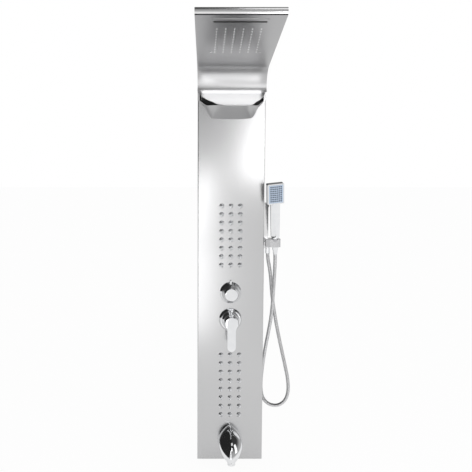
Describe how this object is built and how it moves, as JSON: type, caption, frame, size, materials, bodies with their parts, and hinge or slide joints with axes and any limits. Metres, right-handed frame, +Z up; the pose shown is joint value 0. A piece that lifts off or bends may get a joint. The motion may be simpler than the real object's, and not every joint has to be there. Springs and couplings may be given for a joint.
{
  "type": "shower panel column",
  "caption": "Wall-hung steel shower column with a forward-leaning rain and waterfall head, body jets, mixer lever, diverter knob, tub spout and a hand shower on a looped hose.",
  "frame": {"origin": "centre of the four wall fixing holes, on the wall plane", "axes": "+Z up, +Y into the wall, +X to the right as seen by someone facing the panel"},
  "size_m": [0.3296, 0.422, 1.402],
  "materials": {
    "panel_steel": "polished fine satin",
    "bright_trim": "bright polished",
    "chrome": "mirror chrome",
    "hose_metal": "interlocked metal hose",
    "screw_steel": "satin",
    "galvanised": "zinc plated",
    "brass": "cast and turned",
    "cartridge_plastic": "moulded",
    "manifold_plastic": "moulded",
    "pipe_plastic": "extruded",
    "braided_hose": "braided",
    "white_nozzle": "soft moulded",
    "jet_insert": "polished",
    "face_plastic": "pale blue gloss",
    "face_nozzle": "soft dark",
    "liner_plastic": "moulded"
  },
  "bodies": {
    "root": {"bottom_cap": "panel_steel", "cold_inlet_hose": "braided_hose", "cold_inlet_nut": "brass", "diverter_body": "brass", "diverter_cartridge": "cartridge_plastic", "diverter_flange": "chrome", "diverter_nut": "brass", "front_panel": "panel_steel", "handset_holder": "chrome", "handset_pipe": "pipe_plastic", "head_screws": "screw_steel", "head_sheet": "panel_steel", "head_shell": "panel_steel", "holder_liner": "liner_plastic", "hot_inlet_hose": "braided_hose", "hot_inlet_nut": "brass", "lip_trim": "bright_trim", "lower_hang_rail": "galvanised", "lower_jet_pipe": "pipe_plastic", "lower_jet_rings": "chrome", "lower_jet_tips": "jet_insert", "lower_manifold": "manifold_plastic", "lower_wall_bracket": "galvanised", "mixer_body": "brass", "mixer_cartridge": "cartridge_plastic", "mixer_flange": "chrome", "mixer_nut": "brass", "mouth_scoop": "panel_steel", "outlet_ferrule": "chrome", "outlet_nut": "chrome", "plate_screws": "screw_steel", "rain_chamber": "screw_steel", "rain_nozzles": "white_nozzle", "rain_pipe": "pipe_plastic", "shower_hose": "hose_metal", "side_plate": "bright_trim", "spout_aerator": "chrome", "spout_body": "chrome", "spout_nut": "brass", "spout_pipe": "pipe_plastic", "supply_pipe": "pipe_plastic", "upper_hang_rail": "galvanised", "upper_jet_pipe": "pipe_plastic", "upper_jet_rings": "chrome", "upper_jet_tips": "jet_insert", "upper_manifold": "manifold_plastic", "upper_wall_bracket": "galvanised", "waterfall_box": "screw_steel", "waterfall_pipe": "pipe_plastic", "waterfall_rim": "bright_trim"},
    "diverter_knob": {"diverter_knob": "chrome", "diverter_stem": "brass", "knob_screw": "screw_steel"},
    "mixer_turret": {"mixer_turret": "chrome"},
    "mixer_lever": {"mixer_lever": "chrome", "lever_pin": "screw_steel"},
    "hose_end": {"hose_cone_nut": "chrome"},
    "handset": {"handset_shell": "chrome", "handset_face": "face_plastic", "handset_nozzles": "face_nozzle"}
  },
  "joints": [
    {"name": "diverter_turn", "type": "hinge", "parent": "root", "child": "diverter_knob", "pos_m": [0, -0.09, -0.0474], "axis": [0, -1, 0], "range_deg": [-144, 144]},
    {"name": "lever_turn", "type": "hinge", "parent": "root", "child": "mixer_turret", "pos_m": [0, -0.098, -0.1384], "axis": [0, -1, 0], "range_deg": [-45, 45]},
    {"name": "lever_lift", "type": "hinge", "parent": "mixer_turret", "child": "mixer_lever", "pos_m": [0, -0.098, -0.1384], "axis": [-1, 0, 0], "range_deg": [0, 22]},
    {"name": "handset_lift", "type": "slide", "parent": "root", "child": "hose_end", "axis": [-0.0506, -0.2588, 0.9646], "range_m": [0, 0.05]},
    {"name": "handset_turn", "type": "hinge", "parent": "hose_end", "child": "handset", "pos_m": [0.1415, -0.088, 0.1213], "axis": [-0.0506, -0.2588, 0.9646], "range_deg": [-45, 45]}
  ]
}
